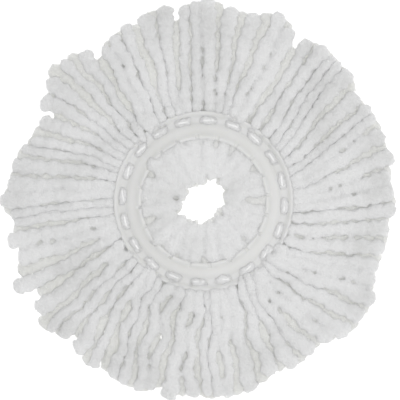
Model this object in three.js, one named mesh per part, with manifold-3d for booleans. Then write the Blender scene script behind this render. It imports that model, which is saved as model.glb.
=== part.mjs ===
// Refill head of a spin mop: a moulded snap ring sewn on top of forty bundles of
// microfibre yarn, which lie fanned out on a flat surface. Each bundle runs from a
// short inner end, under the ring and through the seam, to a long outer end.
//
// Millimetres. The ring's axis is Z, and Z = 0 is the surface that the yarn lies on.
// Bearings are measured clockwise from +Y, seen from above.
import * as THREE from "three";
import { mergeVertices } from "three/addons/utils/BufferGeometryUtils.js";
import Module from "manifold-3d";

const wasm = await Module();
wasm.setup();

const DEGREE = Math.PI / 180;

// ---- Driving dimensions ----

// Seam: one stitch, and so one slot in the ring, for each upper bundle of yarn.
const STITCHES = 20;
const STITCH_PITCH = 360 / STITCHES;
const FIRST_STITCH = 3.5; // bearing of the first slot, in degrees
const SEAM_RADIUS = 71.8;

// Snap ring.
const RING_OUTER_RADIUS = 80;
const RING_BORE_RADIUS = 56;
const RING_BASE_Z = 12;
const RIM_TOP_Z = 18.4;
const RIM_WALL = 3.2;
const PLATEAU_Z = 16.6;
const PLATEAU_INNER_RADIUS = 59.2;
const PLATEAU_OUTER_RADIUS = 68;
const FINGER_TOP_Z = 20;
const FINGER_INNER_RADIUS = 56.8;
const BEAD_REACH = 0.9; // how far the snap bead stands into the bore
const GROOVE_FLOOR_Z = 14.5;
const WALL = 2;
const FINGER_GAP = 3;
const RING_FACETS_PER_STITCH = 4;

// Slots through the ring's groove, each with a raised collar.
const COLLAR_LENGTH = 14.6;
const COLLAR_WIDTH = 7.4;
const COLLAR_TOP_Z = 15.9;
const SLOT_LENGTH = 12;
const SLOT_WIDTH = 4;
const CHANNEL_HALF_WIDTH = 1.4; // channel under the bridges, which the thread lies in
const CHANNEL_TOP_Z = 13.3;

// Sewing thread.
const THREAD_RADIUS = 0.55;
const THREAD_LOW_Z = 12.3;
const THREAD_HIGH_Z = 14.9;
const THREAD_RISE_HALF_LENGTH = 5.4;
const BOBBIN_Z = 1.15;
const TOP_THREAD_STEPS_PER_STITCH = 8;
const BOBBIN_STEPS_PER_STITCH = 4;
const THREAD_SIDES = 5;

// Yarn bundles: wedges of the fan, in two layers, half a stitch apart.
const SIDE_GAP = 0.25; // from a bundle's side to the line that it shares with its neighbour
const LAYER_SPLIT_Z = 6.1;
const LAYER_GAP = 0.3;
const HOLE_RADIUS = 19;
const INNER_TIP_DEPTH = 5;
const OUTER_TIP_DEPTH = 22;
const LONGEST_REACH = 178;
const YARN_TOP_UNDER_RING = 11.3;
const RIM_CLEARANCE = 0.7;
const TIP_CURVE_STEPS = 4;
const BUNDLE_FACETS_PER_STITCH = 2;

// How far each upper bundle reaches from the axis, clockwise from the first stitch.
const UPPER_REACH = [
  178, 177, 172, 169, 173, 174, 167, 174, 167, 174,
  176, 170, 167, 172, 173, 177, 163, 176, 160, 173,
];
// Each lower bundle lies clockwise of its upper one, and shows in the notch between two.
const LOWER_REACH = [
  172, 160, 164, 168, 168, 168, 168, 168, 166, 172,
  168, 166, 170, 168, 171, 168, 156, 158, 162, 172,
];

// ---- Solids ----

// A closed three.js geometry as a solid that can be cut and joined.
function solidOf(geometry) {
  const bare = geometry.index ? geometry.toNonIndexed() : geometry.clone();
  bare.deleteAttribute("normal");
  bare.deleteAttribute("uv");
  const merged = mergeVertices(bare, 1e-4);
  const mesh = new wasm.Mesh({
    numProp: 3,
    vertProperties: new Float32Array(merged.attributes.position.array),
    triVerts: new Uint32Array(merged.index.array),
  });
  return new wasm.Manifold(mesh);
}

function geometryOf(solid) {
  const mesh = solid.getMesh();
  const geometry = new THREE.BufferGeometry();
  geometry.setAttribute("position", new THREE.BufferAttribute(mesh.vertProperties, 3));
  geometry.setIndex(new THREE.BufferAttribute(mesh.triVerts, 1));
  const flat = geometry.toNonIndexed();
  flat.computeVertexNormals();
  return flat;
}

// A closed profile of [radius, z] corners, anticlockwise, turned about Z.
function turned(profile, facets) {
  const points = profile.map(([radius, z]) => new THREE.Vector2(radius, z));
  points.push(points[0].clone());
  return new THREE.LatheGeometry(points, facets).rotateX(Math.PI / 2);
}

// A shape in the XY plane, raised from one height to another.
function raised(shape, lowZ, highZ, curveSegments) {
  const settings = { depth: highZ - lowZ, bevelEnabled: false, curveSegments };
  return new THREE.ExtrudeGeometry(shape, settings).translate(0, 0, lowZ);
}

// Turns a geometry that was drawn along +Y to a bearing.
function toBearing(geometry, bearing) {
  return geometry.rotateZ(-bearing * DEGREE);
}

// ---- Snap ring ----

function roundedRectangle(length, width, corner) {
  const x = length / 2;
  const y = width / 2;
  const shape = new THREE.Shape();
  shape.moveTo(x, corner - y);
  shape.absarc(x - corner, y - corner, corner, 0, Math.PI / 2);
  shape.absarc(corner - x, y - corner, corner, Math.PI / 2, Math.PI);
  shape.absarc(corner - x, corner - y, corner, Math.PI, 1.5 * Math.PI);
  shape.absarc(x - corner, corner - y, corner, 1.5 * Math.PI, 2 * Math.PI);
  return shape;
}

// Section of the ring: snap finger and its bead, plateau, sewing groove and outer rim,
// hollow under the plateau.
const RING_PROFILE = [
  [RING_BORE_RADIUS, RING_BASE_Z],
  [PLATEAU_INNER_RADIUS, RING_BASE_Z],
  [PLATEAU_INNER_RADIUS + 0.6, PLATEAU_Z - WALL],
  [PLATEAU_OUTER_RADIUS - WALL, PLATEAU_Z - WALL],
  [PLATEAU_OUTER_RADIUS - WALL + 0.4, RING_BASE_Z],
  [SEAM_RADIUS - CHANNEL_HALF_WIDTH, RING_BASE_Z],
  [SEAM_RADIUS - CHANNEL_HALF_WIDTH, CHANNEL_TOP_Z],
  [SEAM_RADIUS + CHANNEL_HALF_WIDTH, CHANNEL_TOP_Z],
  [SEAM_RADIUS + CHANNEL_HALF_WIDTH, RING_BASE_Z],
  [RING_OUTER_RADIUS - 1.2, RING_BASE_Z],
  [RING_OUTER_RADIUS, RING_BASE_Z + 1.2],
  [RING_OUTER_RADIUS, RIM_TOP_Z - 1],
  [RING_OUTER_RADIUS - 1, RIM_TOP_Z],
  [RING_OUTER_RADIUS - RIM_WALL + 1, RIM_TOP_Z],
  [RING_OUTER_RADIUS - RIM_WALL, RIM_TOP_Z - 1],
  [RING_OUTER_RADIUS - RIM_WALL - 0.3, GROOVE_FLOOR_Z],
  [PLATEAU_OUTER_RADIUS + 0.3, GROOVE_FLOOR_Z],
  [PLATEAU_OUTER_RADIUS, PLATEAU_Z],
  [PLATEAU_INNER_RADIUS, PLATEAU_Z],
  [PLATEAU_INNER_RADIUS - 0.4, FINGER_TOP_Z - 0.6],
  [PLATEAU_INNER_RADIUS - 1, FINGER_TOP_Z],
  [FINGER_INNER_RADIUS, FINGER_TOP_Z],
  [RING_BORE_RADIUS - BEAD_REACH, FINGER_TOP_Z - 1.4],
  [RING_BORE_RADIUS, FINGER_TOP_Z - 2.6],
];

function snapRing() {
  const facets = STITCHES * RING_FACETS_PER_STITCH;
  let ring = solidOf(toBearing(turned(RING_PROFILE, facets), FIRST_STITCH));
  const collarShape = roundedRectangle(COLLAR_LENGTH, COLLAR_WIDTH, 2);
  const slotShape = roundedRectangle(SLOT_LENGTH, SLOT_WIDTH, 1.6);
  const fingerGapShape = roundedRectangle(FINGER_GAP, 8, 0.8);
  for (let i = 0; i < STITCHES; i++) {
    const bearing = FIRST_STITCH + i * STITCH_PITCH;
    const collar = raised(collarShape, GROOVE_FLOOR_Z - 0.4, COLLAR_TOP_Z, 2);
    const slot = raised(slotShape, RING_BASE_Z - 1, FINGER_TOP_Z, 2);
    const gap = raised(fingerGapShape, PLATEAU_Z + 0.2, FINGER_TOP_Z + 1, 1);
    collar.translate(0, SEAM_RADIUS + 0.1, 0);
    slot.translate(0, SEAM_RADIUS, 0);
    gap.translate(0, (RING_BORE_RADIUS + PLATEAU_INNER_RADIUS) / 2, 0);
    ring = ring.add(solidOf(toBearing(collar, bearing)));
    ring = ring.subtract(solidOf(toBearing(slot, bearing)));
    ring = ring.subtract(solidOf(toBearing(gap, bearing + STITCH_PITCH / 2)));
  }
  return geometryOf(ring);
}

// ---- Sewing thread ----

// A closed round of thread at the seam, whose height follows heightAt(bearing).
class ThreadRound extends THREE.Curve {
  constructor(heightAt) {
    super();
    this.heightAt = heightAt;
  }

  getPoint(t, target = new THREE.Vector3()) {
    const bearing = FIRST_STITCH + t * 360;
    const x = SEAM_RADIUS * Math.sin(bearing * DEGREE);
    const y = SEAM_RADIUS * Math.cos(bearing * DEGREE);
    return target.set(x, y, this.heightAt(bearing));
  }
}

// The top thread lies in view in each slot and dips under each bridge.
function topThreadHeight(bearing) {
  const stitch = Math.round((bearing - FIRST_STITCH) / STITCH_PITCH);
  const offCentre = Math.abs(bearing - FIRST_STITCH - stitch * STITCH_PITCH);
  const along = SEAM_RADIUS * offCentre * DEGREE;
  const rise = THREE.MathUtils.smoothstep(THREAD_RISE_HALF_LENGTH - along, 0, 3.6);
  return THREAD_LOW_Z + (THREAD_HIGH_Z - THREAD_LOW_Z) * rise;
}

function threadRound(heightAt, stepsPerStitch) {
  const path = new ThreadRound(heightAt);
  return new THREE.TubeGeometry(path, STITCHES * stepsPerStitch, THREAD_RADIUS, THREAD_SIDES, true);
}

// ---- Yarn bundles ----

// Sections of the two layers, from the hole to the tips. The upper layer is pressed flat
// under the ring and swells outside it, and the bobbin thread pinches the lower one.
const UPPER_BASE_Z = LAYER_SPLIT_Z + LAYER_GAP / 2;
const LOWER_TOP_Z = LAYER_SPLIT_Z - LAYER_GAP / 2;
const PINCH_HALF_WIDTH = 2.2;
const PINCH_TOP_Z = 2.4;

const UPPER_PROFILE = [
  [HOLE_RADIUS - 1, UPPER_BASE_Z],
  [LONGEST_REACH + 1, UPPER_BASE_Z],
  [LONGEST_REACH + 1, 9],
  [LONGEST_REACH - 12, 12.2],
  [LONGEST_REACH - 32, 15],
  [118, 17],
  [92, 17],
  [RING_OUTER_RADIUS + 4, 15.5],
  [RING_OUTER_RADIUS + RIM_CLEARANCE, 13.5],
  [RING_OUTER_RADIUS + RIM_CLEARANCE, YARN_TOP_UNDER_RING],
  [44, YARN_TOP_UNDER_RING],
  [28, 10.8],
  [HOLE_RADIUS - 1, 8.6],
];

const LOWER_PROFILE = [
  [HOLE_RADIUS - 1, 1.4],
  [HOLE_RADIUS + 3, 0],
  [SEAM_RADIUS - PINCH_HALF_WIDTH, 0],
  [SEAM_RADIUS - PINCH_HALF_WIDTH / 2, PINCH_TOP_Z],
  [SEAM_RADIUS + PINCH_HALF_WIDTH / 2, PINCH_TOP_Z],
  [SEAM_RADIUS + PINCH_HALF_WIDTH, 0],
  [LONGEST_REACH + 1, 0],
  [LONGEST_REACH + 1, LOWER_TOP_Z],
  [HOLE_RADIUS - 1, LOWER_TOP_Z],
];

// Plan of a bundle along +Y: a wedge as wide as one stitch, rounded at both ends.
function bundlePlan(reach) {
  const halfAngle = (STITCH_PITCH / 2) * DEGREE;
  const halfWidthAt = (y) => y * Math.tan(halfAngle) - SIDE_GAP / Math.cos(halfAngle);
  const outerY = reach - OUTER_TIP_DEPTH;
  const innerY = HOLE_RADIUS + INNER_TIP_DEPTH;
  const shape = new THREE.Shape();
  shape.moveTo(halfWidthAt(outerY), outerY);
  shape.absellipse(0, outerY, halfWidthAt(outerY), OUTER_TIP_DEPTH, 0, Math.PI);
  shape.absellipse(0, innerY, halfWidthAt(innerY), INNER_TIP_DEPTH, Math.PI, 2 * Math.PI);
  return shape;
}

function yarnBundle(bearing, reach, layer) {
  const plan = raised(bundlePlan(reach), -1, FINGER_TOP_Z, TIP_CURVE_STEPS);
  return geometryOf(solidOf(toBearing(plan, bearing)).intersect(layer));
}

// ---- Assembly ----

const PLASTIC = new THREE.MeshStandardMaterial({ color: 0xdcdcd8, roughness: 0.35 });
const THREAD = new THREE.MeshStandardMaterial({ color: 0xf2f2f0, roughness: 0.6 });
const YARN = new THREE.MeshStandardMaterial({ color: 0xe9e9e7, roughness: 0.95 });

const mopHead = new THREE.Group();

function place(name, geometry, material) {
  const mesh = new THREE.Mesh(geometry, material);
  mesh.name = name;
  mopHead.add(mesh);
}

place("snap_ring", snapRing(), PLASTIC);
place("seam_thread", threadRound(topThreadHeight, TOP_THREAD_STEPS_PER_STITCH), THREAD);
place("bobbin_thread", threadRound(() => BOBBIN_Z, BOBBIN_STEPS_PER_STITCH), THREAD);

const layerFacets = STITCHES * BUNDLE_FACETS_PER_STITCH;
const upperLayer = solidOf(toBearing(turned(UPPER_PROFILE, layerFacets), FIRST_STITCH));
const lowerLayer = solidOf(toBearing(turned(LOWER_PROFILE, layerFacets), FIRST_STITCH));

for (let i = 0; i < STITCHES; i++) {
  const number = String(i + 1).padStart(2, "0");
  const bearing = FIRST_STITCH + i * STITCH_PITCH;
  const upper = yarnBundle(bearing, UPPER_REACH[i], upperLayer);
  const lower = yarnBundle(bearing + STITCH_PITCH / 2, LOWER_REACH[i], lowerLayer);
  place(`upper_yarn_bundle_${number}`, upper, YARN);
  place(`lower_yarn_bundle_${number}`, lower, YARN);
}

export default mopHead;
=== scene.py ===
"""Looks of the spin mop refill head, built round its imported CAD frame.

Shape code works in millimetres, as the CAD does, and meshes are scaled to metres when they are
made. Bearings are degrees clockwise from +Y, seen from above.
"""

import math

import bmesh
import bpy
import numpy as np
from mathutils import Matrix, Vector, kdtree


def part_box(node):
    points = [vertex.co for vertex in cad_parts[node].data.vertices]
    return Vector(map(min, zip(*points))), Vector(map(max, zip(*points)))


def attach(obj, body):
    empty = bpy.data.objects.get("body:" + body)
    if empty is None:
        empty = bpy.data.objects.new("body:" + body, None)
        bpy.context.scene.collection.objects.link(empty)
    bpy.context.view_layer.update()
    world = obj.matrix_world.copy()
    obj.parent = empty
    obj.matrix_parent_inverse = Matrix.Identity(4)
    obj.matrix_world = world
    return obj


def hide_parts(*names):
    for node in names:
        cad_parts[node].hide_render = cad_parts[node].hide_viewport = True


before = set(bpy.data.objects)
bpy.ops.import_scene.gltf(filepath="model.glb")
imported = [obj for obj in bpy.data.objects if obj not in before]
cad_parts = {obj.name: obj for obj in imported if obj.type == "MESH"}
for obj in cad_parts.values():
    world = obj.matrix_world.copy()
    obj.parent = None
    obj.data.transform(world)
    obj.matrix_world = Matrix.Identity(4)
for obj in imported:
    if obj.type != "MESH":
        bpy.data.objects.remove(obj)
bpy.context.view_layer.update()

MM = 0.001
BODY = "root"
SEED = 20
rng = np.random.default_rng(SEED)

# ---- What the frame says ----

STITCHES = sum(name.startswith("upper_yarn_bundle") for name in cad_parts)
STITCH_PITCH = 360 / STITCHES


def corners(node):
    """A CAD node's vertices, in millimetres."""
    return np.array([v.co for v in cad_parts[node].data.vertices]) / MM


def bearing_of(node):
    """Bearing of the middle of a CAD node, in degrees."""
    x, y, _ = corners(node).mean(axis=0)
    return math.degrees(math.atan2(x, y))


def height_range(node):
    """Lowest and highest z of a CAD node, in millimetres."""
    low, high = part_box(node)
    return low.z / MM, high.z / MM


RING_OUTER_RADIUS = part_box("snap_ring")[1].x / MM
RING_BASE_Z = height_range("snap_ring")[0]
seam_radii = np.hypot(*corners("seam_thread")[:, :2].T)
SEAM_RADIUS = (seam_radii.min() + seam_radii.max()) / 2
THREAD_RADIUS = (seam_radii.max() - seam_radii.min()) / 2
FIRST_STITCH = bearing_of("upper_yarn_bundle_01")

# ---- Helpers ----


def place(bearing, radius, z):
    """Points from bearings in degrees, radii and heights."""
    angle = np.radians(bearing)
    return np.stack([radius * np.sin(angle), radius * np.cos(angle), z], axis=-1)


def around(bearing, table):
    """Read a list of (bearing, value) that goes once round the head."""
    bearings, values = np.array(table, float).T
    return np.interp(bearing, bearings, values, period=360)


def off_stitch(bearing):
    """Bearing measured from the nearest stitch."""
    return (bearing - FIRST_STITCH + STITCH_PITCH / 2) % STITCH_PITCH - STITCH_PITCH / 2


def smoothstep(x):
    """Climbs smoothly from 0 to 1 as x does."""
    x = np.clip(x, 0, 1)
    return x * x * (3 - 2 * x)


def mesh_object(name, vertices, faces):
    """A smoothly shaded mesh object from vertices in millimetres."""
    mesh = bpy.data.meshes.new(name)
    mesh.from_pydata((np.asarray(vertices) * MM).tolist(), [], faces)
    mesh.update()
    mesh.shade_smooth()
    piece = bpy.data.objects.new(name, mesh)
    bpy.context.scene.collection.objects.link(piece)
    return piece


def finish_piece(piece, material, slot, *nodes):
    """Give a piece its material and its body, and hide the CAD nodes that it stands for. The slot is
    not used.
    """
    piece.data.materials.clear()
    piece.data.materials.append(material)
    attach(piece, BODY)
    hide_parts(*nodes)


# ---- How the yarn lies ----

# Outline of the fan: how far the tips reach from the axis, round the bearings.
OUTLINE = [
    (2, 178.5), (6, 175), (12, 171), (17, 173), (22, 180), (25, 177), (28, 165), (30, 157),
    (31.5, 163), (33, 169), (38, 174), (43, 172), (50, 172), (54, 166), (57, 164), (61, 169),
    (67, 171), (71, 168), (75, 174), (80, 168), (84, 165.5), (88, 170), (92, 172), (94.5, 166),
    (99, 165), (103, 168), (109, 164.5), (116, 167.5), (119, 176), (127, 174.5), (131.5, 176.5),
    (134.5, 168), (140.5, 163.5), (148, 167), (158.5, 164), (161, 170), (163.5, 175), (165.6, 172),
    (167.5, 176), (170, 172.5), (172, 175), (175, 172.5), (177.5, 173.5), (179.6, 171), (182, 173),
    (186, 173), (189.5, 178), (193, 174.5), (196, 170.5), (197.5, 176), (203, 177.5), (207, 175.5),
    (209.5, 168), (211, 177), (217, 178), (221, 173), (223.3, 164), (225, 172), (229, 176),
    (232, 182), (234, 180), (238, 172), (240, 166), (243, 176), (244.3, 184), (246.5, 186),
    (248.5, 178), (250, 174), (255.5, 168), (259, 177), (260.5, 177), (262.5, 167), (265, 168),
    (266.5, 176), (271, 180), (274.5, 173.5), (281, 171), (285, 168.5), (288.5, 161.5), (292, 163),
    (296, 161), (299, 150), (300.5, 166), (303, 168.5), (304.7, 162), (306, 173), (310, 178),
    (312, 181), (315, 176), (319, 174), (322, 165), (325, 156), (327, 160), (330, 166),
    (332.5, 165), (334.5, 171), (338.5, 167), (341, 171), (345, 174), (349, 175.5), (351, 171),
    (351.6, 159), (352.6, 159), (353.2, 171), (356, 176),
]

# Outline of the hole: how near the inner ends come to the axis.
HOLE_OUTLINE = [
    (0, 16), (8, 18.5), (20, 20), (35, 21), (56, 21.5), (72, 19.5), (85, 17.5), (105, 18),
    (135, 16), (150, 19.5), (158, 20.5), (178, 18.5), (200, 20), (215, 20.5), (228, 21.5),
    (238, 25.5), (244, 26), (249, 20.5), (265, 19.5), (278, 19), (290, 15.5), (302, 17.5),
    (308, 21), (313, 21.5), (322, 17), (340, 15.5),
]

# Creases between locks of yarn. Each row follows one crease outwards: its bearing at the
# rim, then at the three SWEEP_RADII, and how wide it gapes there, in degrees each way.
SWEEP_RADII = (110, 140, 168)
CREASES = [
    (359.8, 359.8, 359.5, 358.5, 0.2), (7, 5.3, 5.5, 4, 0.5), (11.5, 12.8, 10.8, 12, 0.5),
    (15, 16.8, 18.5, 19.5, 0.8), (21, 23, 25, 24.5, 0.2), (28.5, 31, 31.5, 30, 1.1),
    (39, 36.5, 36, 36, 0.2), (48, 42.5, 41, 41, 0.3), (57, 52, 47, 46, 0.1),
    (63, 56, 52.5, 51.5, 0.5), (70, 64, 61, 59, 0.2), (79, 73, 68, 65, 0.1),
    (88, 85, 82, 80, 0.1), (96, 94, 92, 90, 0.2), (104, 100, 97, 95, 0.3),
    (112, 107, 103, 101, 0.1), (120, 115, 110, 108, 0.2), (128, 124, 119, 117, 0.1),
    (137, 135, 132.5, 130, 0.4), (147, 146.5, 143.3, 140.5, 0.8),
    (151, 154.5, 155.8, 155, 0.7), (157, 161, 162, 161, 0.5), (165, 168, 169.5, 170.5, 0.5),
    (171, 172.5, 174, 174.3, 0.7), (177, 181, 183, 180, 0.9), (185, 187, 187, 186, 0.3),
    (193, 193.8, 193, 195.5, 0.9), (200, 200, 198.5, 197.5, 0.7), (208, 206.5, 204.3, 201.5, 0.8),
    (217, 216, 213.5, 210.5, 1.2), (221.5, 221.5, 219.5, 216.5, 0.9),
    (227, 226.6, 225, 223.5, 0.6), (231, 230, 229.4, 229, 0.4), (239, 236.5, 234, 232.5, 0.9),
    (245, 243, 241, 240, 0.7), (252, 249.5, 248, 249.5, 0.6), (262, 261.5, 262.3, 262, 0.5),
    (271, 270, 268.5, 267, 0.3), (282, 280.5, 278.5, 277.5, 0.2), (290, 288, 285.5, 284, 0.3),
    (295, 296.5, 293.5, 291, 0.7), (300, 302, 301, 299, 0.6), (309, 310.8, 311.8, 311.5, 1.2),
    (313.5, 316.5, 317.5, 317, 0.6), (320, 321.3, 323.3, 325, 1.2), (327, 327.5, 329, 329.5, 0.2),
    (335.5, 338, 338.3, 338.5, 1.2), (346.5, 348.2, 350, 352, 0.9), (353, 354, 355.3, 356, 0.4),
]

GAPE = 1.3  # how far the creases open, as a multiple of the table

# Half the thickness of the yarn where it lies loose: plump where it was combed, and matted
# flatter at the sides.
LOFT = [(0, 5.0), (60, 4.7), (90, 4.3), (120, 4.4), (160, 5.0), (220, 5.0), (270, 4.5), (320, 5.0)]

# How far the yarn fluffs inwards over the ring's rim, round the bearings.
RIM_COVER = [
    (0, 0.0), (22, 1.6), (45, 1.0), (75, 0.3), (105, 0.5), (130, 2.0), (150, 1.8), (175, 0.6),
    (215, 1.6), (240, 0.8), (262, 0.0), (300, 0.6), (318, 2.0), (342, 1.0),
]

# ---- Strands ----

# A strand is settled in a space stretched upwards, in which its section is nearly round.
FLATTEN = 0.72
RIM_HALF_WIDTH = 4.7
PRESSED_HALF_WIDTH = 3.3  # under the ring
PRESSED_SHIFT = 1  # outwards from the seam to the middle of the pressed stretch
PRESSED_OVER = 10
INNER_HALF_WIDTH = 8.0
INNER_TIP_HALF_WIDTH = 3.9
OVERLAP = 1.1  # a strand is this much wider than its share of the lock
WIDEST_AT_RIM = 5.4
WIDEST_AT_TIP = 7.6
LOWER_HALF_WIDTH = 6.0
LOWER_TIP_HALF_WIDTH = 7.4
LOWER_LOFT = 5.1  # at the ring
LOWER_TIP_LOFT = 5.9  # where the fan is wide, and the lower strands fill between the upper
LOWER_LOFT_FROM = 105
LOWER_LOFT_OVER = 45
LOFT_SPREAD = (0.94, 1.06)
ROUNDNESS = 0.84  # half height of a thin strand, as a share of its half width
RIB_WIDTH = 10.8  # of one strand, at the radius below
RIB_RADIUS = 110
RIB_TIP_WIDTH = 19.0  # widest share of the outline that one strand takes
TIP_SETBACK = 2.8  # how far a strand's rounded tip falls short of its last point
TIP_TURN = 0.7  # degrees each way over which a tip takes the mean of the outline
TIP_SPREAD = 0.8
HOLE_SETBACK = 3.6
TURN_RADIUS = SEAM_RADIUS + 4  # where a strand starts to turn to its inner bearing
TURN_OVER = 18
LINK = 5.0  # distance between the points that a strand is settled by
PINNED_WITHIN = LINK * 0.8  # of the seam
UPPER_Z = 11.0
HEIGHT_SPREAD = 1.1
WAVE_HEIGHT = 1.4  # the upper strands rise and fall along their length
WAVE_STRETCH = (9, 13)  # millimetres to one radian of that wave
OUTSIDE_OVER = 15  # past the ring, over which the yarn comes free
DROOP = 1.8  # how far the tips sink
DROOP_FROM = 140
DROOP_OVER = 35
RIM_PUFF = 3.6  # the yarn swells up where it comes out from under the ring
COVER_PUFF = 1.9  # and more where it lies over the rim, as a multiple of the cover
LOWER_RIM_PUFF = 2.2
PUFF_RADIUS = 82
PUFF_WIDTH = 7
CROWN = 1.4  # each bundle lies highest along its middle
UPPER_SEAM_Z = 8.8
LOWER_SEAM_Z = 2.9
INNER_RIBS = 24
INNER_RIB_SHIFT = 0.35  # of a rib
SHORT_OF_HOLE = (3, 8)  # every other inner strand stops this far back from the hole
HIDDEN_ENDS = (51, 60)  # where the strands that have no inner end in view start
LOWER_ENDS = (28, 44)
LOWER_PER_HOLE_END = 3  # one lower strand in so many reaches the hole

CREASE_OPENS_FROM = 84
CREASE_OPENS_OVER = 22
LOWER_WIDENS_FROM = 100
FULL_WIDTH_RADIUS = 165

# How far the strands wander to each side, round the bearings, and how.
SWAY = [(0, 1.3), (60, 1.1), (130, 1.3), (160, 2.8), (215, 3.0), (240, 2.2), (270, 1.2), (310, 1.8)]
SWAY_SPREAD = (0.6, 1.3)
SWAY_STRETCH = (5, 7.5)  # millimetres to one radian
PHASE_DRIFT = 0.12  # radians a degree, so that neighbours wave nearly together
PHASE_SPREAD = 0.8
SWELL_SPREAD = (0.05, 0.15)
SWELL_STRETCH = (3.2, 6.5)


class Strand:
    """One rope of yarn: its points from its inner end outwards, its half widths and half
    heights there, and which of them the seam pins."""

    def __init__(self, node, points, half_widths, half_heights, pinned):
        self.node = node
        self.points = points
        self.half_widths = half_widths
        self.half_heights = half_heights
        self.pinned = pinned

    def part(self, nearest, farthest):
        """The stretch of this strand between two distances from the axis."""
        from_axis = np.hypot(self.points[:, 0], self.points[:, 1])
        kept = (from_axis >= nearest) & (from_axis <= farthest)
        columns = (self.points, self.half_widths, self.half_heights, self.pinned)
        return Strand(self.node, *(column[kept] for column in columns))

    def rim_bearing(self):
        """Bearing at which this strand passes the ring's rim."""
        x, y, _ = self.points[np.argmin(np.abs(np.hypot(*self.points[:, :2].T) - RING_OUTER_RADIUS))]
        return math.degrees(math.atan2(x, y)) % 360


def unwound(bearings):
    """Bearings that climb steadily, with no jump from 360 back to 0."""
    return np.degrees(np.unwrap(np.radians(bearings)))


def crease_paths():
    """Each crease's bearings at the rim and at the sweep radii, climbing row by row."""
    rows = np.array(CREASES)
    rows = rows[np.argsort((rows[:, 0] + 1) % 360)]
    bearings = np.stack([unwound(column) for column in rows[:, :4].T], axis=1)
    # A column that starts on the other side of north is brought back by whole turns.
    bearings[:, 1:] -= np.round((bearings[:, 1:] - bearings[:, :1]) / 360) * 360
    gape = rows[:, 4]
    turned = np.vstack([bearings, bearings[:1] + 360])
    return turned, np.append(gape, gape[0])


def along_sweep(radius, bearings):
    """Read a bearing that is given at the rim and at the sweep radii, at any radius."""
    return np.interp(radius, (RING_OUTER_RADIUS + 4, *SWEEP_RADII), bearings)


def smooth_along(values, rounds=2):
    for _ in range(rounds):
        padded = np.concatenate([values[:1], values, values[-1:]])
        values = (padded[:-2] + 2 * padded[1:-1] + padded[2:]) / 4
    return values


def nearest_stitch(bearing, offset):
    """Number, from 1, of the bundle whose stitch is nearest to a bearing."""
    return int(round((bearing - FIRST_STITCH - offset) / STITCH_PITCH)) % STITCHES + 1


def lay_strand(layer, rim, path_of, width_of, inner, inner_bearing):
    """One strand before it settles, from its inner end to its outer tip. path_of gives its
    bearing outside the ring, and width_of its half width. inner and inner_bearing say where
    it starts."""
    upper = layer == "upper"
    offset = 0 if upper else STITCH_PITCH / 2
    node = f"{layer}_yarn_bundle_{nearest_stitch(rim, offset):02d}"
    tip = path_of(SWEEP_RADII[-1])
    outline = np.mean([around(tip + turn, OUTLINE) for turn in (-TIP_TURN, 0, TIP_TURN)])
    reach = outline + TIP_SETBACK - abs(rng.normal(0, TIP_SPREAD))
    count = int(round((reach - inner) / LINK))
    radius = np.linspace(inner, reach, count + 1)
    bearing = smooth_along(np.array([path_of(r) for r in radius]))
    inward = smoothstep((TURN_RADIUS - radius) / TURN_OVER)
    bearing = bearing + (inner_bearing - bearing) * inward
    phase = rim * PHASE_DRIFT + rng.normal(0, PHASE_SPREAD)
    sway_width = around(rim, SWAY) * rng.uniform(*SWAY_SPREAD)
    sway = sway_width * np.sin(radius / rng.uniform(*SWAY_STRETCH) + phase)
    bearing = bearing + np.degrees(sway / radius)
    lofted = smoothstep((radius - LOWER_LOFT_FROM) / LOWER_LOFT_OVER)
    lower_loft = LOWER_LOFT + (LOWER_TIP_LOFT - LOWER_LOFT) * lofted
    z = np.full(count + 1, UPPER_Z) if upper else lower_loft.copy()
    if upper:
        outside = smoothstep((radius - RING_OUTER_RADIUS) / OUTSIDE_OVER)
        lift = rng.normal(0, HEIGHT_SPREAD)
        wave = WAVE_HEIGHT * np.sin(radius / rng.uniform(*WAVE_STRETCH) + phase)
        z += (lift + wave) * outside
        z -= DROOP * smoothstep((radius - DROOP_FROM) / DROOP_OVER)
        z += CROWN * np.cos(2 * math.pi * off_stitch(rim) / STITCH_PITCH) * outside
    puff = RIM_PUFF + COVER_PUFF * around(rim, RIM_COVER) if upper else LOWER_RIM_PUFF
    z += puff * np.exp(-(((radius - PUFF_RADIUS) / PUFF_WIDTH) ** 2))
    loft = (around(rim, LOFT) if upper else lower_loft) * rng.uniform(*LOFT_SPREAD)
    inside = np.clip((SEAM_RADIUS - radius) / (SEAM_RADIUS - inner), 0, 1)
    taper = INNER_HALF_WIDTH + (INNER_TIP_HALF_WIDTH - INNER_HALF_WIDTH) * inside
    half_widths = np.where(radius > SEAM_RADIUS, [width_of(r) for r in radius], taper)
    swell = rng.uniform(*SWELL_SPREAD) * np.sin(radius / rng.uniform(*SWELL_STRETCH) + 2 * phase)
    half_widths = half_widths * (1 + swell)
    pressed = 1 - smoothstep(np.abs(radius - SEAM_RADIUS - PRESSED_SHIFT) / PRESSED_OVER)
    half_widths = half_widths + (PRESSED_HALF_WIDTH - half_widths) * pressed
    half_widths = smooth_along(half_widths, 1)
    half_heights = np.minimum(half_widths * ROUNDNESS, loft)
    half_heights = half_heights + (half_widths * FLATTEN - half_heights) * pressed
    pinned = np.abs(radius - SEAM_RADIUS) < PINNED_WITHIN
    z = np.where(pinned, UPPER_SEAM_Z if upper else LOWER_SEAM_Z, z)
    return Strand(node, place(bearing, radius, z), half_widths, half_heights, pinned)


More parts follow.
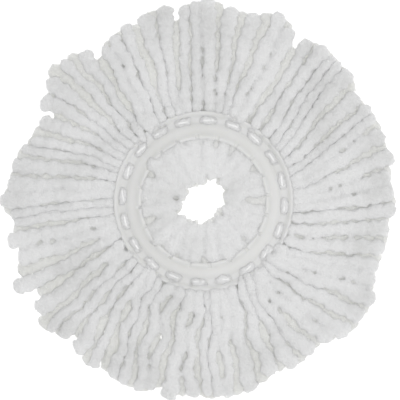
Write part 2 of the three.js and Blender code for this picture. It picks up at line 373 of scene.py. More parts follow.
def upper_lie(before, after, gape_before, gape_after, ribs, share):
    """How an upper strand lies between two creases: its bearing and its half width."""

    def sides(r):
        opened = smoothstep((r - CREASE_OPENS_FROM) / CREASE_OPENS_OVER)
        low = along_sweep(r, before) + gape_before * GAPE * opened
        high = along_sweep(r, after) - gape_after * GAPE * opened
        return low, high

    def path_of(r):
        low, high = sides(r)
        return low + (high - low) * share

    def width_of(r):
        low, high = sides(r)
        half = math.radians(high - low) * r / ribs / 2 * OVERLAP
        widest = np.interp(r, (RING_OUTER_RADIUS, FULL_WIDTH_RADIUS), (WIDEST_AT_RIM, WIDEST_AT_TIP))
        return min(max(half, RIM_HALF_WIDTH), widest)

    return path_of, width_of


def lower_lie(bearings):
    """How a lower strand lies: its bearing and its half width."""

    def path_of(r):
        return along_sweep(r, bearings)

    def width_of(r):
        radii = (LOWER_WIDENS_FROM, FULL_WIDTH_RADIUS)
        return np.interp(r, radii, (LOWER_HALF_WIDTH, LOWER_TIP_HALF_WIDTH))

    return path_of, width_of


def locks():
    """The ribs between the creases: for each, its two creases, how far they gape, how many
    ribs share the lock, and which of them this one is."""
    creases, gape = crease_paths()
    ribs_of = []
    for before, after, gape_before, gape_after in zip(creases, creases[1:], gape, gape[1:]):
        at_rib = [along_sweep(RIB_RADIUS, side) for side in (before, after)]
        width = math.radians(at_rib[1] - at_rib[0]) * RIB_RADIUS
        tip_width = math.radians(after[3] - before[3]) * SWEEP_RADII[-1]
        ribs = max(1, round(width / RIB_WIDTH), round(tip_width / RIB_TIP_WIDTH))
        ribs_of += [(before, after, gape_before, gape_after, ribs, k) for k in range(ribs)]
    return ribs_of


def inner_ends(rims):
    """Which strands reach into view inside the ring, each with its number and bearing there."""
    chosen = {}
    for m in range(INNER_RIBS):
        bearing = (m + INNER_RIB_SHIFT) * 360 / INNER_RIBS
        free = [i for i in range(len(rims)) if i not in chosen]
        nearest = min(free, key=lambda i: abs((rims[i] - bearing + 180) % 360 - 180))
        chosen[nearest] = (m, bearing)
    return chosen


def all_strands():
    roots = locks()
    rims = [b[0] + (a[0] - b[0]) * (k + 0.5) / ribs for b, a, _, _, ribs, k in roots]
    inner_of = inner_ends(rims)
    strands = []
    for i, (before, after, gape_before, gape_after, ribs, k) in enumerate(roots):
        lie = upper_lie(before, after, gape_before, gape_after, ribs, (k + 0.5) / ribs)
        if i in inner_of:
            m, bearing = inner_of[i]
            bearing = rims[i] + (bearing - rims[i] + 180) % 360 - 180
            inner = around(bearing, HOLE_OUTLINE)
            inner += (abs(rng.normal(0, 1.0)) if m % 2 else rng.uniform(*SHORT_OF_HOLE)) - HOLE_SETBACK
        else:
            bearing = rims[i]
            inner = rng.uniform(*HIDDEN_ENDS)
        strands.append(lay_strand("upper", rims[i] % 360, *lie, inner, bearing))

    lower_paths = [b + (a - b) * k / ribs for b, a, _, _, ribs, k in roots]
    for m, path in enumerate(lower_paths):
        rim = path[0] % 360
        inner = rng.uniform(*LOWER_ENDS)
        if m % LOWER_PER_HOLE_END == 0:
            inner = around(rim, HOLE_OUTLINE) - HOLE_SETBACK + abs(rng.normal(0, 1.2))
        strands.append(lay_strand("lower", rim, *lower_lie(path), inner, path[0]))
    return strands


# ---- Settling: the strands fall and push each other aside ----

SETTLE_STEPS = 120
PAIR_REFRESH = 6
GRAVITY_STEP = 0.05
DRAG = 0.8
HOLD = 0.15  # share of the way back to its own lie that a point takes each step
HEIGHT_HOLD = 0.06
SQUASH = 0.76  # how near two strands may come, as a share of their half widths
PUSH_SHARE = 0.35  # of their overlap that two strands are pushed apart at once
STIFFNESS = 0.12
RELAX_ROUNDS = 3
PAIR_MARGIN = 2  # how far apart strands may be and still be watched
FLOOR_SINK = 0.95
BORE_RADIUS = 56
UNDER_RING_GAP = 0.4
UNDER_RING_SQUASH = 0.9
RIM_LAP = 3.1  # the yarn starts to rise this far inwards of the rim's edge
RIM_SLOPE = 2.6
BORE_LAP = 4
BORE_SLOPE = 2.8
OPEN_AIR = 30.0


def close_pairs(points, half_widths, owner):
    """Pairs of points on different strands that are near enough to touch soon."""
    tree = kdtree.KDTree(len(points))
    for i, point in enumerate(points):
        tree.insert(Vector(point), i)
    tree.balance()
    near = 2 * SQUASH * half_widths.max() + PAIR_MARGIN
    pairs = []
    for i, point in enumerate(points):
        for _, j, _ in tree.find_range(Vector(point), near):
            if i < j and owner[i] != owner[j]:
                pairs.append((i, j))
    return np.array(pairs)


def ceiling_over(from_axis, half_widths, bearing):
    """The highest that a strand's middle may lie, in millimetres: pressed by the ring
    where it is under it, and free to rise past the rim and inside the bore."""
    under = RING_BASE_Z - UNDER_RING_GAP - half_widths * FLATTEN * UNDER_RING_SQUASH
    past = (from_axis - RING_OUTER_RADIUS + RIM_LAP + around(bearing, RIM_COVER)) * RIM_SLOPE
    inside = (BORE_RADIUS + BORE_LAP - from_axis) * BORE_SLOPE
    return np.minimum(under + np.maximum(np.maximum(past, inside), 0), OPEN_AIR)


def push_apart(points, one, other, moves):
    """Move one point of each pair, and the other point the opposite way."""
    for axis in range(3):
        points[:, axis] += np.bincount(one, moves[:, axis], len(points))
        points[:, axis] -= np.bincount(other, moves[:, axis], len(points))


def settle(strands):
    """Move the strands' points until the strands lie on the floor and beside each other."""
    points = np.concatenate([s.points for s in strands])
    points[:, 2] /= FLATTEN
    half_widths = np.concatenate([s.half_widths for s in strands])
    pinned = np.concatenate([s.pinned for s in strands])
    owner = np.concatenate([np.full(len(s.points), i) for i, s in enumerate(strands)])
    first = np.flatnonzero(owner[:-1] == owner[1:])
    rest = np.linalg.norm(points[first + 1] - points[first], axis=1)
    bend = np.flatnonzero(owner[:-2] == owner[2:])
    start = points.copy()
    before = points.copy()
    for step in range(SETTLE_STEPS):
        moved = (points - before) * DRAG
        before = points.copy()
        points = points + moved
        points[:, 2] -= GRAVITY_STEP
        points[:, :2] += (start[:, :2] - points[:, :2]) * HOLD
        points[:, 2] += (start[:, 2] - points[:, 2]) * HEIGHT_HOLD
        if step % PAIR_REFRESH == 0:
            pairs = close_pairs(points, half_widths, owner)
        i, j = pairs.T
        for _ in range(RELAX_ROUNDS):
            apart = points[i] - points[j]
            distance = np.linalg.norm(apart, axis=1) + 1e-9
            overlap = (half_widths[i] + half_widths[j]) * SQUASH - distance
            hit = overlap > 0
            push = apart[hit] / distance[hit, None] * (overlap[hit, None] * PUSH_SHARE)
            push_apart(points, i[hit], j[hit], push)
            span = points[first + 1] - points[first]
            length = np.linalg.norm(span, axis=1)
            fix = span * ((length - rest) / length * 0.5)[:, None]
            push_apart(points, first, first + 1, fix)
            middle = (points[bend] + points[bend + 2]) / 2
            points[bend + 1] += (middle - points[bend + 1]) * STIFFNESS
            points[:, 2] = np.maximum(points[:, 2], half_widths * FLOOR_SINK)
            from_axis = np.hypot(points[:, 0], points[:, 1])
            bearing = np.degrees(np.arctan2(points[:, 0], points[:, 1]))
            ceiling = ceiling_over(from_axis, half_widths, bearing) / FLATTEN
            points[:, 2] = np.minimum(points[:, 2], ceiling)
            points[pinned] = start[pinned]
    points[:, 2] *= FLATTEN
    place_in = 0
    for s in strands:
        s.points = points[place_in : place_in + len(s.points)]
        place_in += len(s.points)


# ---- Yarn surface ----

SIDES = 14
RING_STEP = 1.5  # distance along a strand between its rings of vertices
RESAMPLE_PARTS = 8
BEAD = 11.5  # the strand bulges and pinches over this length
BEAD_SPREAD = (0.88, 1.15)
BEAD_DEPTH = 0.29
BEAD_FULLNESS = 0.55  # less than one makes the bulges long and the pinches short
BEAD_DRIFT = 0.7
BEAD_DRIFT_STRETCH = (18, 34)
TWIST_DEPTH = 0.08
TWIST_FULLNESS = 0.7
TIP_LENGTH = 7.5
FLARE_LENGTH = 26.0
TIP_FLARE = 0.22
TIP_SQUARENESS = 2.0
UPPER_VOXEL = 1.15  # strands are matted into one skin at this fineness
LOWER_VOXEL = 1.5
MATTED_SIDES = [(52, 138), (246, 292)]  # bearings where more strands cling together
INNER_FLUFF = 0.6  # the pile stands out this far from the strands, and fills between them
OUTER_FLUFF = 0.1
INNER_MATTING = 0.5  # gaps narrower than twice this are filled
OUTER_MATTING = 0.15
LOWER_MATTING = 0.7
CLINGING_AT_SIDES = 0.6  # share of the strands that cling to the one before them
CLINGING = 0.5
CLUSTER_LIMIT = 3
PARTED_AT = 66.0  # hidden under the ring, where a strand's inner and outer skins meet
PART_LAP = 5.0
SECTION_SQUARENESS = 0.95  # less than one flattens the strand's top
MATTING_ROUNDS = 2
TERRY_HEIGHT = 0.32  # of the looped pile, which roughens the skin
TERRY_WAVES = 40
TERRY_LENGTHS = (3.0, 8.0)
FLOOR_GAP = 0.02


def resample(points, radii, step):
    """A smooth curve through a strand's points, at even steps."""
    padded = np.vstack([2 * points[0] - points[1], points, 2 * points[-1] - points[-2]])
    padded_radii = np.concatenate([radii[:1], radii, radii[-1:]])
    fine, fine_radii = [], []
    for i in range(len(points) - 1):
        a, b, c, d = padded[i : i + 4]
        for k in range(RESAMPLE_PARTS):
            t = k / RESAMPLE_PARTS
            fine.append(
                0.5 * (2 * b + (c - a) * t + (2 * a - 5 * b + 4 * c - d) * t**2
                       + (3 * b - a - 3 * c + d) * t**3)
            )
            fine_radii.append(padded_radii[i + 1] * (1 - t) + padded_radii[i + 2] * t)
    fine.append(points[-1])
    fine_radii.append(radii[-1])
    fine = np.array(fine)
    along = np.concatenate([[0], np.cumsum(np.linalg.norm(np.diff(fine, axis=0), axis=1))])
    count = max(8, int(round(along[-1] / step)))
    wanted = np.linspace(0, along[-1], count + 1)
    path = np.stack([np.interp(wanted, along, fine[:, k]) for k in range(3)], axis=1)
    return path, np.interp(wanted, along, fine_radii), wanted


def side_and_up(tangent):
    """Side and up directions along a path, from its own directions, with no roll about it."""
    tangent = tangent / np.linalg.norm(tangent, axis=1)[:, None]
    side = np.cross(tangent, [0, 0, 1])
    side /= np.linalg.norm(side, axis=1)[:, None]
    return side, np.cross(side, tangent)


def strand_surface(strand, fuller):
    """Vertices and faces of one strand, so much fuller each way: a bulging, twisted tube
    with rounded ends."""
    path, half_widths, along = resample(strand.points, strand.half_widths, RING_STEP)
    half_heights = resample(strand.points, strand.half_heights, RING_STEP)[1]
    side, up = side_and_up(np.gradient(path, axis=0))
    phi = np.linspace(0, 2 * math.pi, SIDES, endpoint=False)[None, :]
    s = along[:, None]
    total = along[-1]
    bead = BEAD * rng.uniform(*BEAD_SPREAD)
    phase = rng.uniform(0, math.pi)
    drift = BEAD_DRIFT * np.sin(s / rng.uniform(*BEAD_DRIFT_STRETCH) + phase)
    turn = math.pi * s / bead + phase + drift
    surface = 1 - BEAD_DEPTH * (1 - np.abs(np.sin(turn)) ** BEAD_FULLNESS)
    surface = surface - TWIST_DEPTH * (1 - np.abs(np.sin(turn + phi)) ** TWIST_FULLNESS)
    into_tip = 1 - np.clip(np.minimum(s, total - s) / TIP_LENGTH, 0, 1)
    closing = (1 - into_tip**TIP_SQUARENESS) ** (1 / TIP_SQUARENESS)
    flare = 1 + TIP_FLARE * smoothstep((s - total + FLARE_LENGTH) / FLARE_LENGTH)
    across, upward = (
        np.sign(turned) * np.abs(turned) ** SECTION_SQUARENESS for turned in (np.cos(phi), np.sin(phi))
    )
    wide = (half_widths[:, None] * surface * flare + fuller) * closing * across
    high = (half_heights[:, None] * surface + fuller) * closing * upward
    vertices = path[:, None, :] + wide[..., None] * side[:, None, :] + high[..., None] * up[:, None, :]
    vertices = np.vstack([vertices[1:-1].reshape(-1, 3), path[0], path[-1]])
    rings = len(path) - 2
    faces = []
    for r in range(rings - 1):
        for k in range(SIDES):
            a = r * SIDES + k
            b = r * SIDES + (k + 1) % SIDES
            faces.append((a, b, b + SIDES, a + SIDES))
    inner_pole, outer_pole = rings * SIDES, rings * SIDES + 1
    last = (rings - 1) * SIDES
    for k in range(SIDES):
        faces.append((inner_pole, (k + 1) % SIDES, k))
        faces.append((outer_pole, last + k, last + (k + 1) % SIDES))
    return vertices, faces


# The terry is a sum of plane waves, the same for every piece.
terry_directions = rng.normal(0, 1, (TERRY_WAVES, 3))
terry_directions /= np.linalg.norm(terry_directions, axis=1)[:, None]
terry_lengths = rng.uniform(*TERRY_LENGTHS, TERRY_WAVES)
terry_waves = terry_directions * (2 * math.pi / terry_lengths)[:, None]
terry_phases = rng.uniform(0, 2 * math.pi, TERRY_WAVES)


def matted(surfaces, voxel, matting):
    """Fuse surfaces into one soft skin, take the matting back off it, and roughen it."""
    vertices, faces = joined(surfaces)
    piece = mesh_object("matting", vertices, faces)
    remesh = piece.modifiers.new("matting", "REMESH")
    remesh.mode = "VOXEL"
    remesh.voxel_size = voxel * MM
    soften = piece.modifiers.new("softening", "SMOOTH")
    soften.factor = 0.5
    soften.iterations = MATTING_ROUNDS
    graph = bpy.context.evaluated_depsgraph_get()
    mesh = piece.evaluated_get(graph).to_mesh()
    count = len(mesh.vertices)
    points = np.empty(count * 3)
    normals = np.empty(count * 3)
    corners_of = np.empty(len(mesh.loops), int)
    mesh.vertices.foreach_get("co", points)
    mesh.vertices.foreach_get("normal", normals)
    mesh.loops.foreach_get("vertex_index", corners_of)
    bpy.data.meshes.remove(piece.data)
    points = points.reshape(-1, 3) / MM
    normals = normals.reshape(-1, 3)
    height = np.zeros(count)
    for wave, phase in zip(terry_waves, terry_phases):
        height += np.sin(points @ wave + phase)
    height *= TERRY_HEIGHT / math.sqrt(TERRY_WAVES / 2)
    points += normals * (height - matting)[:, None]
    points[:, 2] = np.maximum(points[:, 2], FLOOR_GAP)
    return points, corners_of.reshape(-1, 4)


def joined(surfaces):
    """Several surfaces, each its vertices and its faces, as one."""
    vertices, faces, base = [], [], 0
    for more, rings in surfaces:
        vertices.append(more)
        faces.extend(tuple(int(i) + base for i in face) for face in rings)
        base += len(more)
    return np.vstack(vertices), faces


def bundle_skins(members, upper):
    """The skins of one bundle outside the ring, or all of it if it is a lower one."""
    if not upper:
        surfaces = [strand_surface(s, LOWER_MATTING) for s in members]
        return [matted(surfaces, LOWER_VOXEL, LOWER_MATTING)]
    outer = [s.part(PARTED_AT - PART_LAP, math.inf) for s in members]
    clusters = []
    for s in outer:
        flat = any(a < s.rim_bearing() < b for a, b in MATTED_SIDES)
        clings = rng.random() < (CLINGING_AT_SIDES if flat else CLINGING)
        if clusters and clings and len(clusters[-1]) < CLUSTER_LIMIT:
            clusters[-1].append(s)
        else:
            clusters.append([s])
    skins = []
    for cluster in clusters:
        surfaces = [strand_surface(s, OUTER_MATTING + OUTER_FLUFF) for s in cluster]
        skins.append(matted(surfaces, UPPER_VOXEL, OUTER_MATTING))
    return skins


TUFT_HALF_SIZE = (8.2, 3.9, 4.8)  # yarn that bulges up through a slot
TUFT_Z = 11.5
TUFT_FLUFF = 0.35  # makes up for what softening takes off
TUFT_SQUARENESS = 0.6  # one is a ball, and less is squarer


def tuft(bearing):
    """Vertices and faces of the yarn that bulges up through one slot."""
    skin = bmesh.new()
    bmesh.ops.create_icosphere(skin, subdivisions=3, radius=1.0)
    ball = np.array([v.co for v in skin.verts])
    faces = [tuple(v.index for v in face.verts) for face in skin.faces]
    skin.free()
    ball = np.sign(ball) * np.abs(ball) ** TUFT_SQUARENESS * TUFT_HALF_SIZE
    turn = np.degrees(ball[:, 0] / SEAM_RADIUS)
    return place(bearing + turn, SEAM_RADIUS + ball[:, 1], TUFT_Z + ball[:, 2]), faces


def yarn_pieces(strands, material, under_shade_material):
    """Every piece of yarn: bundles outside the ring, the mat inside it, and the tufts."""
    by_node = {}
    for strand in strands:
        by_node.setdefault(strand.node, []).append(strand)
    for node, members in sorted(by_node.items()):
        upper = node.startswith("upper")
        name = node.replace("bundle", "strands")
        for k, skin in enumerate(bundle_skins(members, upper)):
            piece = mesh_object(f"{name}_{k + 1}", *skin)
            finish_piece(piece, material if upper else under_shade_material, "yarn", node)
    above = [s for s in strands if s.node.startswith("upper")]
    inside = [s.part(0, PARTED_AT + PART_LAP) for s in above]
    surfaces = [strand_surface(s, INNER_MATTING + INNER_FLUFF) for s in inside if len(s.points) > 1]
    piece = mesh_object("inner_yarn_mat", *matted(surfaces, UPPER_VOXEL, INNER_MATTING))
    finish_piece(piece, material, "yarn", *sorted({s.node for s in above}))
    for stitch in range(STITCHES):
        surface = tuft(FIRST_STITCH + stitch * STITCH_PITCH)
        piece = mesh_object(f"slot_tuft_{stitch + 1:02d}", *matted([surface], UPPER_VOXEL, -TUFT_FLUFF))
        finish_piece(piece, material, "yarn", f"upper_yarn_bundle_{stitch + 1:02d}")


# ---- Snap ring ----

COLUMNS_PER_STITCH = 30
SLOT_COLUMNS = 8  # half the slot's length
SLOT_INNER_RADIUS = SEAM_RADIUS - 2
SLOT_OUTER_RADIUS = SEAM_RADIUS + 2
COLLAR_SIZE = (7.3, 3.7, 2.0)  # half length, half width and corner
COLLAR_TOP_Z = 15.6
GROOVE_FLOOR_Z = 14.5
PLATEAU_Z = 16.6
FINGER_EDGE_RADIUS = 59.3
FINGER_GAP_HALF_WIDTH = 1.5
FINGER_GAP_FLOOR_Z = PLATEAU_Z + 0.2
FINGER_GAP_EDGE = 0.8
FINGER_RADIUS = 56.7
FINGER_TOP_Z = 20
COLLAR_SHIFT = 0.1  # outwards from the seam
COLLAR_EDGE = 0.9
GROOVE_RADIUS = 68.5
SLOT_SIZE = (6.0, 2.0, 0.4)
SLOT_SINK = 0.2  # the moulding sinks a little round each slot
SLOT_SINK_WIDTH = 0.7
WALL_FOOT_Z = 12.2
WALL_SQUEEZE = 0.6
UNDERSIDE_RADIUS = 79.2

# Height of the ring's top from its bore to its rim: finger, plateau, groove and rim.
RING_TOP = [
    (55.9, 18.6), (56.6, 19.0), (57.6, 18.8), (58.6, 18.1), (59.6, 17.3), (60.6, 16.8),
    (63.5, 16.7), (65.5, 16.6), (67.0, 16.1), (69.0, 14.9), (70.0, 14.6), (74.5, 14.6),
    (75.6, 15.0), (76.9, 16.3), (77.6, 16.9), (78.3, 17.1), (79.1, 16.9), (79.7, 16.2),
]
BORE_WALL = [(56.0, 12.2), (56.0, 15.0), (56.0, 17.4), (55.5, 18.1), (55.1, 18.7), (55.3, 19.3)]
RIM_WALL = [(80.0, 15.4), (80.0, 14.0), (79.9, 12.6)]


def rounded_box_distance(along, across, half_length, half_width, corner):
    """How far outside a rounded rectangle a point is; less than zero inside."""
    x = np.abs(along) - (half_length - corner)
    y = np.abs(across) - (half_width - corner)
    outside = np.hypot(np.maximum(x, 0), np.maximum(y, 0))
    return outside + np.minimum(np.maximum(x, y), 0) - corner


def ring_height(radius, bearing):
    """Height of the ring's top, with its collars and the gaps between its fingers."""
    height = np.interp(radius, *np.array(RING_TOP).T)
    along = np.radians(off_stitch(bearing)) * radius
    across = radius - SEAM_RADIUS - COLLAR_SHIFT
    collar = rounded_box_distance(along, across, *COLLAR_SIZE)
    lift = smoothstep(-collar / COLLAR_EDGE)
    height = np.maximum(height, GROOVE_FLOOR_Z + (COLLAR_TOP_Z - GROOVE_FLOOR_Z) * lift)
    slot = rounded_box_distance(along, across + COLLAR_SHIFT, *SLOT_SIZE)
    sunk = smoothstep(1 - slot / SLOT_SINK_WIDTH) * (radius > GROOVE_RADIUS)
    height = height - SLOT_SINK * sunk
    gap = np.abs(np.radians(STITCH_PITCH / 2 - np.abs(off_stitch(bearing))) * radius)
    cut = smoothstep((FINGER_GAP_HALF_WIDTH + FINGER_GAP_EDGE / 2 - gap) / FINGER_GAP_EDGE)
    in_gap = height + (np.minimum(height, FINGER_GAP_FLOOR_Z) - height) * cut
    return np.where(radius < FINGER_EDGE_RADIUS, in_gap, height)


def ring_piece(material):
    """The ring as rows of vertices round its axis, with its slots left open."""
    columns = COLUMNS_PER_STITCH * STITCHES
    bearings = FIRST_STITCH + np.arange(columns) * 360 / columns
    # The rows are closest where the top curves, and meet the edges of the slots.
    radii = np.concatenate([
        np.linspace(55.9, 59.5, 9)[:-1],
        np.linspace(59.5, 67.2, 5)[:-1],
        np.linspace(67.2, SLOT_INNER_RADIUS, 8)[:-1],
        np.linspace(SLOT_INNER_RADIUS, SLOT_OUTER_RADIUS, 7)[:-1],
        np.linspace(SLOT_OUTER_RADIUS, 79.7, 17),
    ])
    slot_rows = np.flatnonzero(
        (radii[:-1] > SLOT_INNER_RADIUS - 0.01) & (radii[1:] < SLOT_OUTER_RADIUS + 0.01)
    )
    first_slot_row, last_slot_row = slot_rows[0], slot_rows[-1] + 1
    rows = []
    for radius, z in BORE_WALL:
        cut_z = ring_height(FINGER_RADIUS, bearings) - FINGER_TOP_Z + z
        squeezed_z = WALL_FOOT_Z + (z - WALL_FOOT_Z) * WALL_SQUEEZE
        rows.append((radius, np.minimum(z, np.maximum(cut_z, squeezed_z))))
    top_start = len(rows)
    rows += [(radius, ring_height(radius, bearings)) for radius in radii]
    rows += [(radius, np.full(columns, z)) for radius, z in RIM_WALL]
    bottom_start = len(rows)
    base = np.full(columns, RING_BASE_Z)
    rows += [(min(radius, UNDERSIDE_RADIUS), base) for radius in radii[::-1]]
    vertices = np.concatenate([place(bearings, r, z) for r, z in rows])
    index = np.arange(len(rows) * columns).reshape(len(rows), columns)

    def in_slot(row, column):
        away = (column + COLUMNS_PER_STITCH // 2) % COLUMNS_PER_STITCH - COLUMNS_PER_STITCH // 2
        inside = -SLOT_COLUMNS <= away < SLOT_COLUMNS
        return inside and first_slot_row <= row < last_slot_row

    faces = []
    last_radius = len(radii) - 1
    for row in range(len(rows)):
        after = (row + 1) % len(rows)
        radius_row = None
        if top_start <= row < top_start + last_radius:
            radius_row = row - top_start
        elif bottom_start <= row < bottom_start + last_radius:
            radius_row = last_radius - 1 - (row - bottom_start)
        for column in range(columns):
            if radius_row is not None and in_slot(radius_row, column):
                continue
            beside = (column + 1) % columns
            faces.append((index[row, column], index[row, beside],
                          index[after, beside], index[after, column]))

    def top(row, column):
        return index[top_start + row, column % columns]

    def bottom(row, column):
        return index[bottom_start + last_radius - row, column % columns]

    for stitch in range(STITCHES):
        middle = stitch * COLUMNS_PER_STITCH
        edge = [(first_slot_row, middle + c) for c in range(-SLOT_COLUMNS, SLOT_COLUMNS)]
        edge += [(r, middle + SLOT_COLUMNS) for r in range(first_slot_row, last_slot_row)]
        edge += [(last_slot_row, middle + c) for c in range(SLOT_COLUMNS, -SLOT_COLUMNS, -1)]
        edge += [(r, middle - SLOT_COLUMNS) for r in range(last_slot_row, first_slot_row, -1)]
        for a, b in zip(edge, edge[1:] + edge[:1]):
            faces.append((top(*a), top(*b), bottom(*b), bottom(*a)))

    ring = mesh_object("snap_ring_moulding", vertices, [tuple(int(i) for i in f) for f in faces])
    skin = bmesh.new()
    skin.from_mesh(ring.data)
    bmesh.ops.recalc_face_normals(skin, faces=skin.faces)
    skin.to_mesh(ring.data)
    skin.free()
    ring.data.set_sharp_from_angle(angle=math.radians(40))
    finish_piece(ring, material, "ring_plastic", "snap_ring")


# ---- Sewing thread ----

THREAD_SIDES = 10
THREAD_STEP = 0.5
TWIST_LENGTH = 2.6
PLY_DEPTH = 0.22
THREAD_HALF_WIDTH = THREAD_RADIUS * 1.35
SLOT_THREAD_Z = 16.3
BRIDGE_THREAD_Z = 12.5
THREAD_RISE_HALF_LENGTH = 6.0
THREAD_RISE_OVER = 2.2
THREAD_SLANT = 0.55  # across the slot, at the distance below from its middle
THREAD_SLANT_AT = 5
THREAD_DIP = 0.12
BOBBIN_Z = sum(height_range("bobbin_thread")) / 2


def thread_piece(name, node, material, radius_of, height_of):
    """A closed round of two-ply thread."""
    count = int(2 * math.pi * SEAM_RADIUS / THREAD_STEP)
    bearings = np.arange(count) * 360 / count
    path = place(bearings, radius_of(bearings), height_of(bearings))
    side, up = side_and_up(np.roll(path, -1, axis=0) - np.roll(path, 1, axis=0))
    phi = np.linspace(0, 2 * math.pi, THREAD_SIDES, endpoint=False)[None, :]
    turns = round(count * THREAD_STEP / TWIST_LENGTH)
    twist = np.radians(bearings * turns)[:, None]
    reach = THREAD_HALF_WIDTH * (1 - PLY_DEPTH * np.sin(phi + twist) ** 2)
    ring = reach[..., None] * (
        np.cos(phi)[..., None] * side[:, None, :] + np.sin(phi)[..., None] * up[:, None, :]
    )
    vertices = (path[:, None, :] + ring).reshape(-1, 3)
    faces = []
    for step in range(count):
        for k in range(THREAD_SIDES):
            a = step * THREAD_SIDES
            b = (step + 1) % count * THREAD_SIDES
            beside = (k + 1) % THREAD_SIDES
            faces.append((a + k, b + k, b + beside, a + beside))
    piece = mesh_object(name, vertices, faces)
    finish_piece(piece, material, "sewing_thread", node)


def thread_pieces(material):
    """The top thread, which rises in each slot, and the bobbin thread, which is level."""
    slant = rng.normal(0, THREAD_SLANT, STITCHES)
    dip = rng.normal(0, THREAD_DIP, STITCHES)

    def stitch_of(bearings):
        return np.round((bearings - FIRST_STITCH) / STITCH_PITCH).astype(int) % STITCHES

    def along(bearings):
        return np.radians(off_stitch(bearings)) * SEAM_RADIUS

    def rise(bearings):
        return smoothstep((THREAD_RISE_HALF_LENGTH - np.abs(along(bearings))) / THREAD_RISE_OVER)

    def seam_radius_of(bearings):
        slanted = slant[stitch_of(bearings)] * along(bearings) / THREAD_SLANT_AT
        return SEAM_RADIUS + slanted * rise(bearings)

    def seam_height_of(bearings):
        high = SLOT_THREAD_Z + dip[stitch_of(bearings)]
        return BRIDGE_THREAD_Z + (high - BRIDGE_THREAD_Z) * rise(bearings)

    def level(value):
        return lambda bearings: np.full(len(bearings), value)

    thread_piece("seam_thread_twist", "seam_thread", material, seam_radius_of, seam_height_of)
    thread_piece("bobbin_thread_twist", "bobbin_thread", material, level(SEAM_RADIUS), level(BOBBIN_Z))


# ---- Materials ----


def new_material(name):
    """A material, its node tree, its shader, and where on the object a point is."""
    material = bpy.data.materials.new(name)
    material.use_nodes = True
    tree = material.node_tree
    place_in = tree.nodes.new("ShaderNodeTexCoord").outputs["Object"]
    return material, tree, tree.nodes["Principled BSDF"], place_in


def set_inputs(node, values):
    for name, value in values.items():
        node.inputs[name].default_value = value


def add_node(tree, kind, **settings):
    """A node whose settings are its sockets' values or, failing a socket, its properties."""
    node = tree.nodes.new(kind)
    for key, value in settings.items():
        if key in node.inputs:
            node.inputs[key].default_value = value
        else:
            setattr(node, key, value)
    return node


def texture(tree, kind, place_in, **settings):
    """A texture node that is laid out over the object."""
    node = add_node(tree, kind, **settings)
    tree.links.new(place_in, node.inputs["Vector"])
    return node


def noise(tree, place_in, scale, detail):
    return texture(tree, "ShaderNodeTexNoise", place_in, Scale=scale, Detail=detail).outputs["Fac"]


def roughen(tree, shader, height, strength, distance):
    """Let a height bump a shader's surface."""
    bump = add_node(tree, "ShaderNodeBump", Strength=strength, Distance=distance)
    tree.links.new(height, bump.inputs["Height"])
    tree.links.new(bump.outputs["Normal"], shader.inputs["Normal"])


def ramp(tree, source, low, high, low_at=0.3, high_at=0.7):
    """A colour that goes from low to high over a source."""
    node = tree.nodes.new("ShaderNodeValToRGB")
    for element, at, colour in zip(node.color_ramp.elements, (low_at, high_at), (low, high)):
        element.position = at
        element.color = (*colour, 1)
    tree.links.new(source, node.inputs["Fac"])
    return node.outputs["Color"]


# Two tints that each material varies between.
YARN_TINTS = (0.85, 0.851, 0.847), (0.99, 0.991, 0.995)
# Painted shade: the lower strands, the same yarn, get warmer, olive tints for the shade they lie in
# under the upper strands.
UNDER_YARN_SHADE_TINTS = (0.89, 0.891, 0.862), (0.94, 0.941, 0.916)
PLASTIC_TINTS = (0.85, 0.852, 0.835), (0.885, 0.886, 0.875)
THREAD_TINTS = (0.91, 0.91, 0.905), (0.97, 0.97, 0.97)
FLOOR_TINTS = (0.95, 0.95, 0.95), (0.97, 0.97, 0.97)

PATCH_EDGES = (0.36, 0.64)
TIP_SHADE = (0.925, 0.925, 0.925)  # painted shade: the yarn's colour darkens towards its tips, which droop away from the light
TIP_SHADE_FROM = 0.085  # metres from the axis
TIP_SHADE_TO = 0.175
YARN_PAINTED_FILL = 0.07  # painted light: the yarn glows a little, which lightens the shade in its creases


def yarn_material(name, low, high):
    material, tree, shader, place_in = new_material(name)
    loops = texture(tree, "ShaderNodeTexVoronoi", place_in, Scale=700.0)
    fibres = noise(tree, place_in, 1500.0, 4.0)
    tint = ramp(tree, noise(tree, place_in, 26.0, 4.0), low, high, *PATCH_EDGES)
    from_axis = add_node(tree, "ShaderNodeVectorMath", operation="LENGTH")
    tree.links.new(place_in, from_axis.inputs[0])
    outward = add_node(tree, "ShaderNodeMapRange")
    set_inputs(outward, {"From Min": TIP_SHADE_FROM, "From Max": TIP_SHADE_TO})
    tree.links.new(from_axis.outputs["Value"], outward.inputs["Value"])
    # Painted shade: the base colour is darkened outwards, towards the tips.
    painted_tip_shade = ramp(tree, outward.outputs["Result"], (1, 1, 1), TIP_SHADE, 0, 1)
    tint_in_tip_shade = add_node(tree, "ShaderNodeMix", data_type="RGBA", blend_type="MULTIPLY", Factor=1.0)
    # A mix node's colours are its inputs 6 and 7 and its output 2.
    tree.links.new(tint, tint_in_tip_shade.inputs[6])
    tree.links.new(painted_tip_shade, tint_in_tip_shade.inputs[7])
    tree.links.new(tint_in_tip_shade.outputs[2], shader.inputs["Base Color"])
    pile = add_node(tree, "ShaderNodeMath", operation="SUBTRACT")
    tree.links.new(fibres, pile.inputs[0])
    tree.links.new(loops.outputs["Distance"], pile.inputs[1])
    roughen(tree, shader, pile.outputs["Value"], strength=0.8, distance=0.001)
    set_inputs(shader, {
        "Roughness": 0.95,
        "Specular IOR Level": 0.15,
        "Sheen Weight": 0.25,
        "Sheen Roughness": 0.5,
        "Subsurface Weight": 0.7,
        "Subsurface Radius": (1.0, 1.0, 1.0),
        "Subsurface Scale": 0.006,
        # Painted light: a faint glow in the yarn that lightens its shaded creases.
        "Emission Color": (0.98, 0.99, 1.0, 1),
        "Emission Strength": YARN_PAINTED_FILL,
    })
    return material


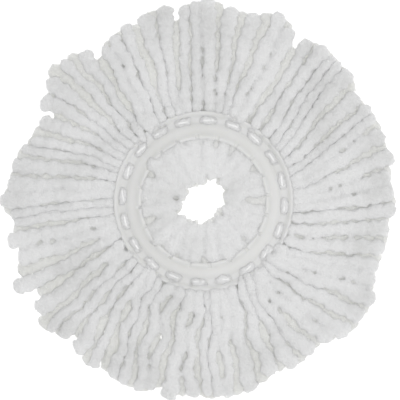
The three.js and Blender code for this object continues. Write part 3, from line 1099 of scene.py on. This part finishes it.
def plastic_material():
    material, tree, shader, place_in = new_material("ring_plastic")
    flow = noise(tree, place_in, 45.0, 2.0)
    grain = noise(tree, place_in, 900.0, 3.0)
    tree.links.new(ramp(tree, flow, *PLASTIC_TINTS), shader.inputs["Base Color"])
    gloss = add_node(tree, "ShaderNodeMapRange")
    set_inputs(gloss, {"To Min": 0.38, "To Max": 0.55})
    tree.links.new(grain, gloss.inputs["Value"])
    tree.links.new(gloss.outputs["Result"], shader.inputs["Roughness"])
    roughen(tree, shader, grain, strength=0.15, distance=0.0002)
    set_inputs(shader, {
        "IOR": 1.49,
        "Subsurface Weight": 0.8,
        "Subsurface Radius": (1.0, 1.0, 0.95),
        "Subsurface Scale": 0.004,
    })
    return material


THREAD_PAINTED_HIGHLIGHT = 0.2  # painted highlight: the thread glows, standing in for the light its polished surface catches


def thread_material():
    material, tree, shader, place_in = new_material("sewing_thread")
    fibres = noise(tree, place_in, 2500.0, 3.0)
    tree.links.new(ramp(tree, fibres, *THREAD_TINTS), shader.inputs["Base Color"])
    roughen(tree, shader, fibres, strength=0.5, distance=0.0002)
    set_inputs(shader, {
        "Roughness": 0.4,
        "Sheen Weight": 0.2,
        # Painted highlight: the thread glows brighter than its own shading gives.
        "Emission Color": (1, 1, 1, 1),
        "Emission Strength": THREAD_PAINTED_HIGHLIGHT,
    })
    return material


def floor_material():
    material, tree, shader, place_in = new_material("pale_floor")
    mottle = noise(tree, place_in, 6.0, 2.0)
    tree.links.new(ramp(tree, mottle, *FLOOR_TINTS), shader.inputs["Base Color"])
    set_inputs(shader, {
        "Roughness": 0.9,
        "Emission Color": (1, 1, 1, 1),
        "Emission Strength": FLOOR_GLOW,
    })
    return material


# ---- Stage, lights and camera ----

VIEW_WIDTH = 355.6  # millimetres that the picture spans
VIEW_CENTRE = (-3.1, 0.9)
CAMERA_HEIGHT = 2.2  # metres
PICTURE_HEIGHT = 0.012  # metres above the floor, where the view width is measured
SENSOR_WIDTH = 36.0
FLOOR_SIZE = 6.0
FLOOR_GLOW = 0.5
WORLD_STRENGTH = 0.565


def stage():
    bpy.ops.mesh.primitive_grid_add(x_subdivisions=4, y_subdivisions=4, size=FLOOR_SIZE)
    floor = bpy.context.object
    floor.name = "floor"
    floor.data.materials.append(floor_material())


def area_light(name, location, size, watts):
    """A round lamp that shines on the middle of the floor."""
    data = bpy.data.lights.new(name, "AREA")
    data.shape = "DISK"
    data.size = size
    data.energy = watts
    light = bpy.data.objects.new(name, data)
    light.location = location
    light.rotation_euler = (-Vector(location)).to_track_quat("-Z", "Y").to_euler()
    bpy.context.scene.collection.objects.link(light)


def lights():
    world = bpy.data.worlds.new("studio")
    world.use_nodes = True
    background = world.node_tree.nodes["Background"]
    set_inputs(background, {"Color": (1, 1, 1, 1), "Strength": WORLD_STRENGTH})
    bpy.context.scene.world = world
    area_light("overhead_softbox", location=(0.5, -0.15, 1.9), size=0.9, watts=10.0)


def camera():
    data = bpy.data.cameras.new("camera")
    data.sensor_width = SENSOR_WIDTH
    data.lens = SENSOR_WIDTH * (CAMERA_HEIGHT - PICTURE_HEIGHT) / (VIEW_WIDTH * MM)
    data.clip_end = 20
    view = bpy.data.objects.new("camera", data)
    view.location = (VIEW_CENTRE[0] * MM, VIEW_CENTRE[1] * MM, CAMERA_HEIGHT)
    bpy.context.scene.collection.objects.link(view)
    bpy.context.scene.camera = view
    bpy.context.scene.view_settings.view_transform = "Standard"


# ---- Make everything ----

camera()
lights()
stage()

yarn = yarn_material("microfibre_yarn", *YARN_TINTS)
# Painted shade: a warmer copy of the yarn material for the lower strands.
under_yarn_in_shade = yarn_material("microfibre_yarn_in_painted_shade", *UNDER_YARN_SHADE_TINTS)
plastic = plastic_material()
thread = thread_material()

strands = all_strands()
settle(strands)
yarn_pieces(strands, yarn, under_yarn_in_shade)

ring_piece(plastic)
thread_pieces(thread)
